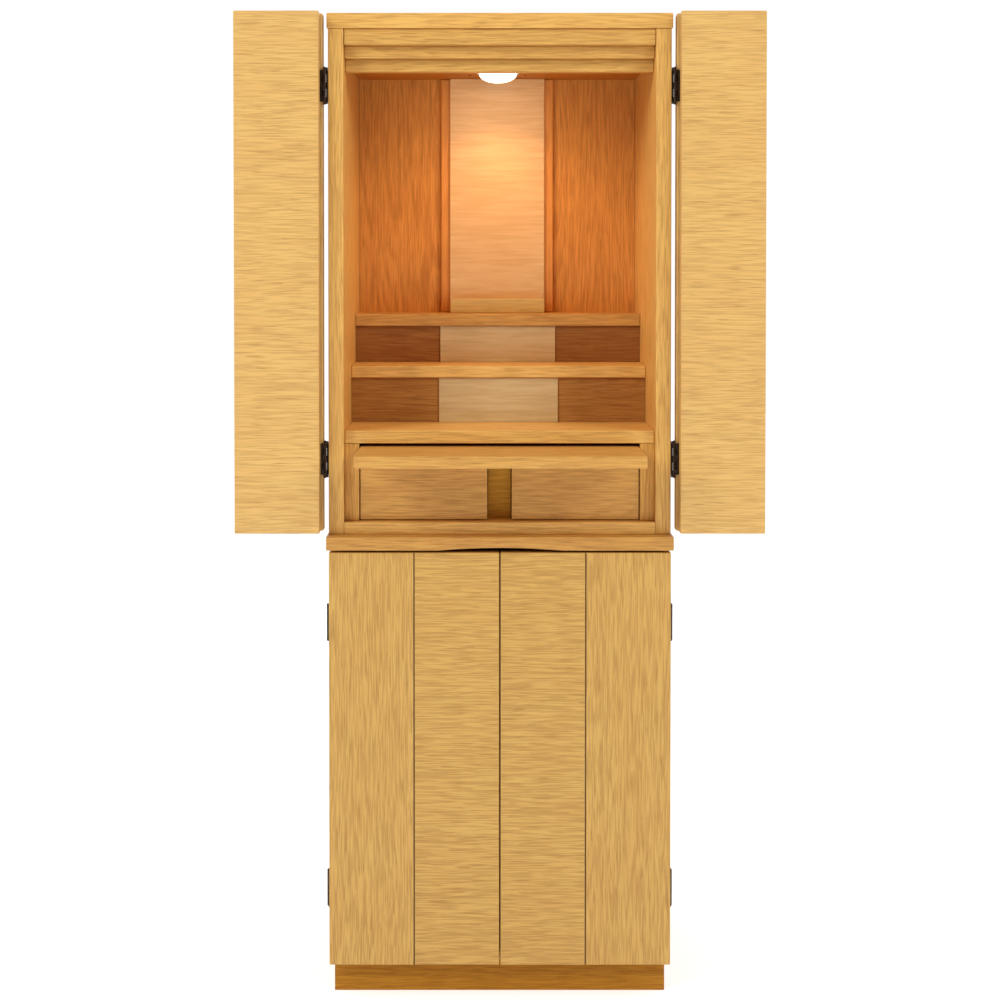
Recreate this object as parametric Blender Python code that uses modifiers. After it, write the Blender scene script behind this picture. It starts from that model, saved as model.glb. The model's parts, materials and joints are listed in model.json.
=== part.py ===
# Household altar cabinet in light oak: a lamp-lit niche behind folding leaves, on a cupboard.
# Metres, +Z up, the front faces -Y. The origin is on the floor, under the middle of the plinth.
import math

import bmesh
import bpy

# Widths and heights of the two carcasses
CABINET_HEIGHT = 1.479
TOP_WIDTH = 0.520           # the top board and the counter share this width
TOP_THICK = 0.023
TOP_OVERHANG = 0.0015       # past the front edges of the sides
UPPER_WIDTH = 0.516
UPPER_SIDE_THICK = 0.023
LOWER_WIDTH = 0.512
LOWER_SIDE_THICK = 0.020
CARCASS_DEPTH = 0.340
BACK_THICK = 0.009
BACK_INSET = 0.006
COUNTER_TOP_Z = 0.6947
COUNTER_THICK = 0.0206
COUNTER_OVERHANG = 0.024
UPPER_BOTTOM_THICK = 0.0176
LOWER_BOTTOM_THICK = 0.018
LOWER_SHELF_RISE = 0.2942   # its top face above the bottom board
LOWER_SHELF_SETBACK = 0.030
LOWER_SHELF_THICK = 0.018

# Plinth
PLINTH_WIDTH = 0.500
PLINTH_DEPTH = 0.330
PLINTH_HEIGHT = 0.0475
PLINTH_RECESS = 0.002       # behind the front edges of the sides
PLINTH_BOARD = 0.018

# Finger scoop under the counter's front edge
SCOOP_CHORD = 0.185
SCOOP_RISE = 0.004
SCOOP_DEPTH = 0.030
SCOOP_STEPS = 24

# Niche: valance of three stepped slats, ceiling, back boards
SLAT_DEPTH = 0.020
SLAT_SETBACK = 0.003
SLAT_STEP = 0.014
SLAT_HEIGHTS = (0.0238, 0.0184, 0.0184)
CEILING_DROP = 0.0395       # under the top board
CEILING_THICK = 0.009
MOUNT_BOARD_WIDTH = 0.191
MOUNT_BOARD_THICK = 0.009
CENTRE_PANEL_WIDTH = 0.160
CENTRE_PANEL_THICK = 0.0055
IMAGE_STAND_WIDTH = 0.158
IMAGE_STAND_DEPTH = 0.034
IMAGE_STAND_HEIGHT = 0.023
LAMP_BASE_RADIUS = 0.035
LAMP_BASE_THICK = 0.003
LAMP_RADIUS = 0.032
LAMP_DROP = 0.016
LAMP_SETBACK = 0.213
ROUND_STEPS = 48

# Stepped shelves: top face above the step below it, thickness, front edge behind the front plane
TOP_SHELF_STEP = 0.080
TOP_SHELF_THICK = 0.020
TOP_SHELF_SETBACK = 0.228
MIDDLE_SHELF_STEP = 0.0906
MIDDLE_SHELF_THICK = 0.019
MIDDLE_SHELF_SETBACK = 0.140
ALTAR_FLOOR_STEP = 0.1550
ALTAR_FLOOR_THICK = 0.0195
ALTAR_FLOOR_SETBACK = 0.016
RISER_THICK = 0.012
RISER_SETBACK = 0.007       # behind the shelf edge above it
RISER_PANEL_WIDTH = 0.190
RISER_PANEL_THICK = 0.002

# Front of the drawer case, the offering board and the two drawers
POST_WIDTH = 0.022
POST_DEPTH = 0.020
RUNNER_THICK = 0.012
OFFERING_THICK = 0.018
OFFERING_TOP_GAP = 0.0049   # under the altar floor
OFFERING_DEPTH = 0.280
OFFERING_OUT = 0.105        # how far it stands out of the front plane at rest
OFFERING_SIDE_GAP = 0.001
DRAWER_FRONT_THICK = 0.018
DRAWER_RECESS = 0.002       # drawer fronts behind the posts
DRAWER_GAP = 0.0015
DRAWER_TOP_GAP = 0.0025
GRIP_WIDTH = 0.037          # finger recess between the two drawer fronts
GRIP_DEPTH = 0.024
DIVIDER_SIDE_GAP = 0.001
DRAWER_BOX_DEPTH = 0.245
DRAWER_BOX_HEIGHT = 0.060
DRAWER_BOX_INSET = 0.003
DRAWER_WALL = 0.009
DRAWER_FLOOR = 0.005
DRAWER_LIFT = 0.001

# Folding leaves and cupboard doors
LEAF_THICK = 0.020
LEAF_BOTTOM_GAP = 0.0045    # above the counter
DOOR_TOP_GAP = 0.0034       # under the counter
DOOR_BOTTOM_DROP = 0.002    # above the top of the plinth
DOOR_FACE_GAP = 0.0025      # inner face to the front edges of the sides
MEETING_GAP = 0.002         # between the two middle leaves, and the two doors
FOLD_GAP = 0.0015           # between the two leaves of one side, when they are flat
DOOR_GROOVE_WIDTH = 0.0024
DOOR_GROOVE_DEPTH = 0.002

# Butt hinges
UPPER_PIN_OUT = 0.005       # pin outside the face of the upper side
LOWER_PIN_OUT = 0.003
PIN_TO_EDGE = 0.003         # pin to the edge of its leaf or door
BARREL_RADIUS = 0.002
BARREL_LENGTH = 0.057
BARREL_STEPS = 16
FLAP_HEIGHT = 0.047
FLAP_THICK = 0.0016
FLAP_WIDTH = 0.018
FIXED_FLAP_DEPTH = 0.014
HINGE_INSET = 0.109         # hinge middle from the end of its leaf
FOLD_HINGE_INSET = 0.040    # the long fold hinge from the end of the leaf

# Fits and edges
FIT = 0.0003                # between pieces that touch
SWING_GAP = 0.0003          # between a hinge barrel and the flap that turns on it
EDGE = 0.0012               # small round on the boards' edges
THIN_EDGE = 0.0005

# Places worked out from the sizes above
FRONT_Y = -(PLINTH_RECESS + PLINTH_DEPTH / 2)
REAR_Y = FRONT_Y + CARCASS_DEPTH
BACK_FACE_Y = REAR_Y - BACK_INSET - BACK_THICK
UPPER_HALF = UPPER_WIDTH / 2
UPPER_INNER = UPPER_HALF - UPPER_SIDE_THICK
LOWER_HALF = LOWER_WIDTH / 2
LOWER_INNER = LOWER_HALF - LOWER_SIDE_THICK
CARCASS_TOP_Z = CABINET_HEIGHT - TOP_THICK
UPPER_BASE_Z = COUNTER_TOP_Z + FIT
UPPER_FLOOR_Z = UPPER_BASE_Z + UPPER_BOTTOM_THICK
CEILING_UNDER_Z = CARCASS_TOP_Z - CEILING_DROP
ALTAR_FLOOR_Z = COUNTER_TOP_Z + ALTAR_FLOOR_STEP
MIDDLE_SHELF_Z = ALTAR_FLOOR_Z + MIDDLE_SHELF_STEP
TOP_SHELF_Z = MIDDLE_SHELF_Z + TOP_SHELF_STEP
COUNTER_UNDER_Z = COUNTER_TOP_Z - COUNTER_THICK
LOWER_BASE_Z = PLINTH_HEIGHT + FIT
LOWER_FLOOR_Z = LOWER_BASE_Z + LOWER_BOTTOM_THICK
LOWER_SHELF_Z = LOWER_FLOOR_Z + LOWER_SHELF_RISE
FRAME_FRONT_Y = FRONT_Y + ALTAR_FLOOR_SETBACK
OPENING_HALF = UPPER_INNER - POST_WIDTH
OFFERING_TOP_Z = ALTAR_FLOOR_Z - ALTAR_FLOOR_THICK - OFFERING_TOP_GAP
OFFERING_UNDER_Z = OFFERING_TOP_Z - OFFERING_THICK
RUNNER_TOP_Z = OFFERING_UNDER_Z - FIT
RUNNER_UNDER_Z = RUNNER_TOP_Z - RUNNER_THICK
LEAF_BOTTOM_Z = COUNTER_TOP_Z + LEAF_BOTTOM_GAP
DOOR_TOP_Z = COUNTER_UNDER_Z - DOOR_TOP_GAP
DOOR_BOTTOM_Z = PLINTH_HEIGHT + DOOR_BOTTOM_DROP
UPPER_PIN_X = UPPER_HALF + UPPER_PIN_OUT
LOWER_PIN_X = LOWER_HALF + LOWER_PIN_OUT

# The folded middle leaf leaves the outer leaf's hinge flap in sight by this much
FOLDED_REACH = 0.007
PIN_SPACING = (UPPER_PIN_X - MEETING_GAP / 2 + FOLDED_REACH) / 2

LEFT, RIGHT = -1, 1
SIDES = (("left", LEFT), ("right", RIGHT))


def clear_scene():
    for item in list(bpy.data.objects):
        bpy.data.objects.remove(item, do_unlink=True)


def new_collection(name):
    collection = bpy.data.collections.new(name)
    bpy.context.scene.collection.children.link(collection)
    return collection


def finish_material(name, colour, roughness, metallic=0.0):
    material = bpy.data.materials.new(name)
    material.use_nodes = True
    shader = material.node_tree.nodes["Principled BSDF"]
    shader.inputs["Base Color"].default_value = (*colour, 1.0)
    shader.inputs["Roughness"].default_value = roughness
    shader.inputs["Metallic"].default_value = metallic
    return material


clear_scene()
CABINET = new_collection("household_altar_cabinet")
CUTTERS = new_collection("cutters")

OAK = finish_material("oak_veneer", (0.70, 0.47, 0.22), 0.50)
OAK_NICHE = finish_material("oak_niche", (0.62, 0.36, 0.17), 0.50)
OAK_SHADE = finish_material("oak_plinth", (0.52, 0.30, 0.12), 0.55)
PALE = finish_material("pale_panel", (0.86, 0.66, 0.46), 0.28)
BRONZE = finish_material("hinge_bronze", (0.055, 0.035, 0.022), 0.42, 0.85)
LAMP_WHITE = finish_material("lamp_white", (0.85, 0.82, 0.76), 0.40)
LAMP_GLOW = finish_material("lamp_lens", (1.0, 0.93, 0.80), 0.25)


def place(name, mesh, material, pivot, parent, collection=CABINET):
    piece = bpy.data.objects.new(name, mesh)
    collection.objects.link(piece)
    if material:
        mesh.materials.append(material)
    piece.location = pivot
    if parent:
        piece.parent = parent
        piece.location = [pivot[i] - parent.matrix_world.translation[i] for i in range(3)]
    bpy.context.view_layer.update()
    return piece


def box_mesh(name, x, y, z, pivot):
    """A cube between three pairs of world coordinates, in a mesh about its pivot."""
    mesh = bpy.data.meshes.new(name)
    shape = bmesh.new()
    bmesh.ops.create_cube(shape, size=1.0)
    for vertex in shape.verts:
        for axis, (low, high) in enumerate((x, y, z)):
            side = vertex.co[axis] + 0.5
            vertex.co[axis] = min(low, high) + side * abs(high - low) - pivot[axis]
    shape.to_mesh(mesh)
    shape.free()
    return mesh


def ease_edges(piece, width):
    bevel = piece.modifiers.new("eased_edges", "BEVEL")
    bevel.width = width
    bevel.segments = 1
    bevel.limit_method = "ANGLE"


def board(name, x, y, z, material, pivot=(0, 0, 0), parent=None, edge=EDGE):
    piece = place(name, box_mesh(name, x, y, z, pivot), material, pivot, parent)
    if edge:
        ease_edges(piece, edge)
    return piece


def cutter_box(name, x, y, z, pivot=(0, 0, 0), parent=None):
    piece = place(name, box_mesh(name, x, y, z, pivot), None, pivot, parent, CUTTERS)
    piece.hide_render = True
    piece.display_type = "WIRE"
    return piece


def combine(piece, other, operation):
    boolean = piece.modifiers.new(operation.lower(), "BOOLEAN")
    boolean.operation = operation
    boolean.object = other


def pivot_empty(name, point, parent=None):
    empty = bpy.data.objects.new(name, None)
    CABINET.objects.link(empty)
    empty.empty_display_size = 0.03
    empty.location = point
    if parent:
        empty.parent = parent
        empty.location = [point[i] - parent.matrix_world.translation[i] for i in range(3)]
    bpy.context.view_layer.update()
    return empty


def mirrored(side, near, far):
    """A pair of x values on one side of the cabinet, from distances to its middle."""
    return (side * near, side * far)


def between_upper_sides():
    return (-UPPER_INNER + FIT, UPPER_INNER - FIT)


def upper_carcass():
    board("top_board", (-TOP_WIDTH / 2, TOP_WIDTH / 2), (FRONT_Y - TOP_OVERHANG, REAR_Y),
          (CARCASS_TOP_Z, CABINET_HEIGHT), OAK)
    for word, side in SIDES:
        board(f"upper_side_{word}", mirrored(side, UPPER_INNER, UPPER_HALF), (FRONT_Y, REAR_Y),
              (UPPER_BASE_Z, CARCASS_TOP_Z - FIT), OAK)
    board("upper_bottom", between_upper_sides(), (FRONT_Y, REAR_Y),
          (UPPER_BASE_Z, UPPER_FLOOR_Z), OAK)
    board("upper_back", between_upper_sides(), (BACK_FACE_Y, BACK_FACE_Y + BACK_THICK),
          (UPPER_FLOOR_Z + FIT, CARCASS_TOP_Z - FIT), OAK_NICHE)


def valance_and_ceiling():
    top = CARCASS_TOP_Z - FIT
    front = FRONT_Y + SLAT_SETBACK
    for word, height in zip(("upper", "middle", "lower"), SLAT_HEIGHTS):
        board(f"valance_{word}", between_upper_sides(), (front, front + SLAT_DEPTH),
              (top - height, top), OAK)
        top -= height + FIT
        front += SLAT_STEP
    middle_slat_rear = FRONT_Y + SLAT_SETBACK + SLAT_STEP + SLAT_DEPTH
    board("niche_ceiling", between_upper_sides(), (middle_slat_rear + FIT, BACK_FACE_Y - FIT),
          (CEILING_UNDER_Z, CEILING_UNDER_Z + CEILING_THICK), OAK_NICHE)


def lamp():
    """A flat round base on the ceiling, with a domed lens below it."""
    middle_y = FRONT_Y + LAMP_SETBACK
    base_top = CEILING_UNDER_Z - FIT
    base_under = base_top - LAMP_BASE_THICK
    turned("lamp_base", [(0, base_top), (LAMP_BASE_RADIUS, base_top),
                         (LAMP_BASE_RADIUS, base_under), (0, base_under)],
           (0, middle_y, 0), LAMP_WHITE)
    lens_top = base_under - FIT
    steps = 8
    dome = [(0, lens_top)]
    for step in range(steps):
        angle = math.pi / 2 * step / steps
        dome.append((LAMP_RADIUS * math.cos(angle), lens_top - LAMP_DROP * math.sin(angle)))
    dome.append((0, lens_top - LAMP_DROP))
    turned("lamp_lens", dome, (0, middle_y, 0), LAMP_GLOW)


def turned(name, profile, centre, material):
    """A profile of (radius, height) pairs, top to bottom, turned about a vertical line."""
    mesh = bpy.data.meshes.new(name)
    shape = bmesh.new()
    points = [shape.verts.new((radius, 0, height)) for radius, height in profile]
    for first, second in zip(points, points[1:]):
        shape.edges.new((first, second))
    shape.to_mesh(mesh)
    shape.free()
    piece = place(name, mesh, material, centre, None)
    screw = piece.modifiers.new("turn", "SCREW")
    screw.steps = ROUND_STEPS
    screw.render_steps = ROUND_STEPS
    screw.use_merge_vertices = True
    screw.merge_threshold = 0.0001
    return piece


def niche_back():
    shelf_top = TOP_SHELF_Z + FIT
    ceiling = CEILING_UNDER_Z - FIT
    mount_rear = BACK_FACE_Y - FIT
    mount_front = mount_rear - MOUNT_BOARD_THICK
    board("back_mount_board", (-MOUNT_BOARD_WIDTH / 2, MOUNT_BOARD_WIDTH / 2),
          (mount_front, mount_rear), (shelf_top, ceiling), OAK_NICHE)
    panel_rear = mount_front - FIT
    panel_front = panel_rear - CENTRE_PANEL_THICK
    board("centre_panel", (-CENTRE_PANEL_WIDTH / 2, CENTRE_PANEL_WIDTH / 2),
          (panel_front, panel_rear), (shelf_top, ceiling), PALE)
    stand_rear = panel_front - FIT
    board("image_stand", (-IMAGE_STAND_WIDTH / 2, IMAGE_STAND_WIDTH / 2),
          (stand_rear - IMAGE_STAND_DEPTH, stand_rear),
          (shelf_top, shelf_top + IMAGE_STAND_HEIGHT), OAK_NICHE)


def riser(name, shelf_setback, floor_z, shelf_under_z):
    front = FRONT_Y + shelf_setback + RISER_SETBACK
    heights = (floor_z + FIT, shelf_under_z - FIT)
    board(name, between_upper_sides(), (front, front + RISER_THICK), heights, OAK_NICHE)
    board(f"{name}_panel", (-RISER_PANEL_WIDTH / 2, RISER_PANEL_WIDTH / 2),
          (front - FIT - RISER_PANEL_THICK, front - FIT), heights, PALE, edge=THIN_EDGE)


def stepped_shelves():
    rear = BACK_FACE_Y - FIT
    for name, top, thick, setback in (
        ("top_shelf", TOP_SHELF_Z, TOP_SHELF_THICK, TOP_SHELF_SETBACK),
        ("middle_shelf", MIDDLE_SHELF_Z, MIDDLE_SHELF_THICK, MIDDLE_SHELF_SETBACK),
        ("altar_floor", ALTAR_FLOOR_Z, ALTAR_FLOOR_THICK, ALTAR_FLOOR_SETBACK),
    ):
        board(name, between_upper_sides(), (FRONT_Y + setback, rear), (top - thick, top),
              OAK_NICHE)
    riser("upper_riser", TOP_SHELF_SETBACK, MIDDLE_SHELF_Z, TOP_SHELF_Z - TOP_SHELF_THICK)
    riser("lower_riser", MIDDLE_SHELF_SETBACK, ALTAR_FLOOR_Z, MIDDLE_SHELF_Z - MIDDLE_SHELF_THICK)


def drawer_case():
    under_floor = ALTAR_FLOOR_Z - ALTAR_FLOOR_THICK - FIT
    post_rear = FRAME_FRONT_Y + POST_DEPTH
    for word, side in SIDES:
        board(f"post_{word}", mirrored(side, OPENING_HALF, UPPER_INNER - FIT),
              (FRAME_FRONT_Y, post_rear), (UPPER_FLOOR_Z + FIT, under_floor), OAK)
    runner = board("runner_board", between_upper_sides(), (FRAME_FRONT_Y, BACK_FACE_Y - FIT),
                   (RUNNER_UNDER_Z, RUNNER_TOP_Z), OAK_NICHE, edge=0)
    for word, side in SIDES:
        notch = cutter_box(f"post_notch_{word}",
                           mirrored(side, OPENING_HALF - FIT, UPPER_HALF),
                           (FRONT_Y, post_rear + FIT), (UPPER_FLOOR_Z, ALTAR_FLOOR_Z))
        combine(runner, notch, "DIFFERENCE")
    ease_edges(runner, THIN_EDGE)
    divider_half = GRIP_WIDTH / 2 - DIVIDER_SIDE_GAP
    board("drawer_divider", (-divider_half, divider_half),
          (FRAME_FRONT_Y + DRAWER_RECESS + GRIP_DEPTH, BACK_FACE_Y - FIT),
          (UPPER_FLOOR_Z + FIT, RUNNER_UNDER_Z - FIT), OAK_NICHE)


def offering_board():
    half = OPENING_HALF - OFFERING_SIDE_GAP
    front = FRONT_Y - OFFERING_OUT
    start = (0, front, OFFERING_UNDER_Z)
    slide = pivot_empty("offering_slide", start)
    board("offering_board", (-half, half), (front, front + OFFERING_DEPTH),
          (OFFERING_UNDER_Z, OFFERING_TOP_Z), OAK, start, slide)


def drawers():
    front_y = FRAME_FRONT_Y + DRAWER_RECESS
    bottom = UPPER_FLOOR_Z + DRAWER_GAP
    top = RUNNER_UNDER_Z - DRAWER_TOP_GAP
    inner = GRIP_WIDTH / 2
    outer = OPENING_HALF - DRAWER_GAP
    for word, side in SIDES:
        start = (side * (inner + outer) / 2, front_y, bottom)
        slide = pivot_empty(f"{word}_drawer_slide", start)
        board(f"{word}_drawer_front", mirrored(side, inner, outer),
              (front_y, front_y + DRAWER_FRONT_THICK), (bottom, top), OAK, start, slide)
        drawer_box(word, side, inner, outer, front_y + DRAWER_FRONT_THICK + FIT, start, slide)


def drawer_box(word, side, inner, outer, front, start, slide):
    near = inner + DRAWER_BOX_INSET
    far = outer - DRAWER_BOX_INSET
    floor = UPPER_FLOOR_Z + DRAWER_LIFT
    top = floor + DRAWER_BOX_HEIGHT
    rear = front + DRAWER_BOX_DEPTH
    box = board(f"{word}_drawer_box", mirrored(side, near, far), (front, rear), (floor, top),
                PALE, start, slide, edge=0)
    hollow = cutter_box(f"{word}_drawer_hollow",
                        mirrored(side, near + DRAWER_WALL, far - DRAWER_WALL),
                        (front + DRAWER_WALL, rear - DRAWER_WALL),
                        (floor + DRAWER_FLOOR, top + DRAWER_WALL), start, slide)
    combine(box, hollow, "DIFFERENCE")
    ease_edges(box, THIN_EDGE)


def counter():
    front = FRONT_Y - COUNTER_OVERHANG
    top = board("counter_top", (-TOP_WIDTH / 2, TOP_WIDTH / 2), (front, REAR_Y),
                (COUNTER_UNDER_Z, COUNTER_TOP_Z), OAK, edge=0)
    scoop = place("finger_scoop", scoop_mesh(front), None, (0, 0, 0), None, CUTTERS)
    scoop.hide_render = True
    scoop.display_type = "WIRE"
    combine(top, scoop, "DIFFERENCE")
    ease_edges(top, EDGE)


def scoop_mesh(front):
    """A long low arch, as a cutter that reaches below the counter and in front of it."""
    radius = (SCOOP_CHORD ** 2 / 4 + SCOOP_RISE ** 2) / (2 * SCOOP_RISE)
    half_angle = math.asin(SCOOP_CHORD / 2 / radius)
    centre_z = COUNTER_UNDER_Z + SCOOP_RISE - radius
    mesh = bpy.data.meshes.new("finger_scoop")
    shape = bmesh.new()
    outline = []
    for step in range(SCOOP_STEPS + 1):
        angle = half_angle * (1 - 2 * step / SCOOP_STEPS)
        outline.append((radius * math.sin(angle), centre_z + radius * math.cos(angle)))
    outline.append((-SCOOP_CHORD / 2, COUNTER_UNDER_Z - SCOOP_RISE))
    outline.append((SCOOP_CHORD / 2, COUNTER_UNDER_Z - SCOOP_RISE))
    ring = [shape.verts.new((x, front - SCOOP_RISE, z)) for x, z in outline]
    face = shape.faces.new(ring)
    pulled = bmesh.ops.extrude_face_region(shape, geom=[face])
    moved = [item for item in pulled["geom"] if isinstance(item, bmesh.types.BMVert)]
    bmesh.ops.translate(shape, verts=moved, vec=(0, SCOOP_DEPTH + SCOOP_RISE, 0))
    bmesh.ops.recalc_face_normals(shape, faces=shape.faces)
    shape.to_mesh(mesh)
    shape.free()
    return mesh


def lower_carcass():
    inside = (-LOWER_INNER + FIT, LOWER_INNER - FIT)
    top = COUNTER_UNDER_Z - FIT
    for word, side in SIDES:
        board(f"lower_side_{word}", mirrored(side, LOWER_INNER, LOWER_HALF), (FRONT_Y, REAR_Y),
              (LOWER_BASE_Z, top), OAK)
    board("lower_bottom", inside, (FRONT_Y, REAR_Y), (LOWER_BASE_Z, LOWER_FLOOR_Z), OAK)
    board("lower_back", inside, (BACK_FACE_Y, BACK_FACE_Y + BACK_THICK),
          (LOWER_FLOOR_Z + FIT, top), OAK)
    board("lower_shelf", inside, (FRONT_Y + LOWER_SHELF_SETBACK, BACK_FACE_Y - FIT),
          (LOWER_SHELF_Z - LOWER_SHELF_THICK, LOWER_SHELF_Z), OAK)


def plinth():
    """A frame of boards on edge with one board across its middle."""
    half = PLINTH_WIDTH / 2
    front = FRONT_Y + PLINTH_RECESS
    rear = front + PLINTH_DEPTH
    frame = board("plinth", (-half, half), (front, rear), (0, PLINTH_HEIGHT), OAK_SHADE, edge=0)
    for word, side in SIDES:
        bay = cutter_box(f"plinth_bay_{word}", mirrored(side, PLINTH_BOARD / 2, half - PLINTH_BOARD),
                         (front + PLINTH_BOARD, rear - PLINTH_BOARD),
                         (-PLINTH_HEIGHT, 2 * PLINTH_HEIGHT))
        combine(frame, bay, "DIFFERENCE")
    ease_edges(frame, THIN_EDGE)


def barrel(name, x, y, z_middle, length, pivot, parent):
    """The cylinder round a hinge pin, to be joined to its flap."""
    mesh = bpy.data.meshes.new(name)
    shape = bmesh.new()
    bmesh.ops.create_cone(shape, cap_ends=True, segments=BARREL_STEPS,
                          radius1=BARREL_RADIUS, radius2=BARREL_RADIUS, depth=length)
    offset = (x - pivot[0], y - pivot[1], z_middle - pivot[2])
    bmesh.ops.translate(shape, verts=shape.verts, vec=offset)
    shape.to_mesh(mesh)
    shape.free()
    piece = place(name, mesh, None, pivot, parent, CUTTERS)
    piece.hide_render = True
    piece.display_type = "WIRE"
    return piece


def fixed_hinge_half(name, side, pin_x, side_x, z_middle):
    """The flap on the face of a carcass side, in one piece with the barrel."""
    heights = (z_middle - FLAP_HEIGHT / 2, z_middle + FLAP_HEIGHT / 2)
    half = board(name, mirrored(side, side_x + FIT, pin_x - BARREL_RADIUS / 2),
                 (FRONT_Y, FRONT_Y + FIXED_FLAP_DEPTH), heights, BRONZE, edge=0)
    pin = barrel(f"{name}_barrel", side * pin_x, FRONT_Y, z_middle, BARREL_LENGTH, (0, 0, 0), None)
    combine(half, pin, "UNION")


def flap_depths(leaf_face_y, towards):
    """A flap's y range against a leaf's inner face; towards is the way the face looks."""
    return (leaf_face_y + towards * FIT, leaf_face_y + towards * (FIT + FLAP_THICK))


def cabinet_hinges():
    leaf_ends = (LEAF_BOTTOM_Z, CABINET_HEIGHT)
    door_ends = (DOOR_BOTTOM_Z, DOOR_TOP_Z)
    for case, pin_x, side_x, ends in (("upper", UPPER_PIN_X, UPPER_HALF, leaf_ends),
                                      ("cupboard", LOWER_PIN_X, LOWER_HALF, door_ends)):
        for word, side in SIDES:
            for level, z in hinge_levels(ends):
                fixed_hinge_half(f"{case}_hinge_{word}_{level}", side, pin_x, side_x, z)


def hinge_levels(ends):
    return (("low", ends[0] + HINGE_INSET), ("high", ends[1] - HINGE_INSET))


def folding_leaves():
    """The two leaves of each side, shown folded back flat beside the cabinet."""
    heights = (LEAF_BOTTOM_Z, CABINET_HEIGHT)
    middle_z = sum(heights) / 2
    outer_face = FRONT_Y + DOOR_FACE_GAP
    inner_face = FRONT_Y - DOOR_FACE_GAP
    fold_x = UPPER_PIN_X + PIN_SPACING
    near_edge = UPPER_PIN_X + PIN_TO_EDGE
    far_edge = fold_x - FOLD_GAP / 2
    tip_edge = UPPER_PIN_X + FOLDED_REACH
    for word, side in SIDES:
        pin = (side * UPPER_PIN_X, FRONT_Y, middle_z)
        fold = (side * fold_x, FRONT_Y, middle_z)
        swing = pivot_empty(f"{word}_leaf_pin", pin)
        folding = pivot_empty(f"{word}_fold_pin", fold, swing)
        board(f"{word}_outer_leaf", mirrored(side, near_edge, far_edge),
              (outer_face, outer_face + LEAF_THICK), heights, OAK, pin, swing)
        board(f"{word}_inner_leaf", mirrored(side, tip_edge, far_edge),
              (inner_face - LEAF_THICK, inner_face), heights, OAK, fold, folding)
        for level, z in hinge_levels(heights):
            board(f"{word}_leaf_flap_{level}",
                  mirrored(side, UPPER_PIN_X + BARREL_RADIUS + SWING_GAP,
                           UPPER_PIN_X + BARREL_RADIUS + SWING_GAP + FLAP_WIDTH),
                  flap_depths(outer_face, -1), (z - FLAP_HEIGHT / 2, z + FLAP_HEIGHT / 2),
                  BRONZE, pin, swing, edge=0)
        fold_hinge(word, side, fold_x, outer_face, inner_face, heights, pin, swing, fold, folding)


def fold_hinge(word, side, fold_x, outer_face, inner_face, heights, pin, swing, fold, folding):
    """A long hinge in the gap between the folded leaves: its barrel goes with the outer leaf."""
    span = (heights[0] + FOLD_HINGE_INSET, heights[1] - FOLD_HINGE_INSET)
    with_barrel = board(f"{word}_fold_hinge_outer",
                        mirrored(side, fold_x - FLAP_WIDTH, fold_x - BARREL_RADIUS / 2),
                        flap_depths(outer_face, -1), span, BRONZE, pin, swing, edge=0)
    tube = barrel(f"{word}_fold_barrel", side * fold_x, FRONT_Y, sum(span) / 2,
                  span[1] - span[0] + BARREL_RADIUS, pin, swing)
    combine(with_barrel, tube, "UNION")
    board(f"{word}_fold_hinge_inner",
          mirrored(side, fold_x - FLAP_WIDTH, fold_x - BARREL_RADIUS - SWING_GAP),
          flap_depths(inner_face, 1), span, BRONZE, fold, folding, edge=0)


def cupboard_doors():
    face = FRONT_Y - DOOR_FACE_GAP
    outer = LOWER_PIN_X - PIN_TO_EDGE
    inner = MEETING_GAP / 2
    groove_middle = (outer + inner) / 2
    for word, side in SIDES:
        pin = (side * LOWER_PIN_X, FRONT_Y, (DOOR_BOTTOM_Z + DOOR_TOP_Z) / 2)
        swing = pivot_empty(f"cupboard_{word}_pin", pin)
        door = board(f"cupboard_door_{word}", mirrored(side, inner, outer),
                     (face - LEAF_THICK, face), (DOOR_BOTTOM_Z, DOOR_TOP_Z), OAK, pin, swing,
                     edge=0)
        front = face - LEAF_THICK
        groove = cutter_box(f"door_groove_{word}",
                            mirrored(side, groove_middle - DOOR_GROOVE_WIDTH / 2,
                                     groove_middle + DOOR_GROOVE_WIDTH / 2),
                            (front - DOOR_GROOVE_DEPTH, front + DOOR_GROOVE_DEPTH),
                            (DOOR_BOTTOM_Z - LEAF_THICK, DOOR_TOP_Z + LEAF_THICK), pin, swing)
        combine(door, groove, "DIFFERENCE")
        ease_edges(door, THIN_EDGE)


upper_carcass()
valance_and_ceiling()
lamp()
niche_back()
stepped_shelves()
drawer_case()
offering_board()
drawers()
counter()
lower_carcass()
plinth()
cabinet_hinges()
folding_leaves()
cupboard_doors()
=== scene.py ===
import json
import math
import random

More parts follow.
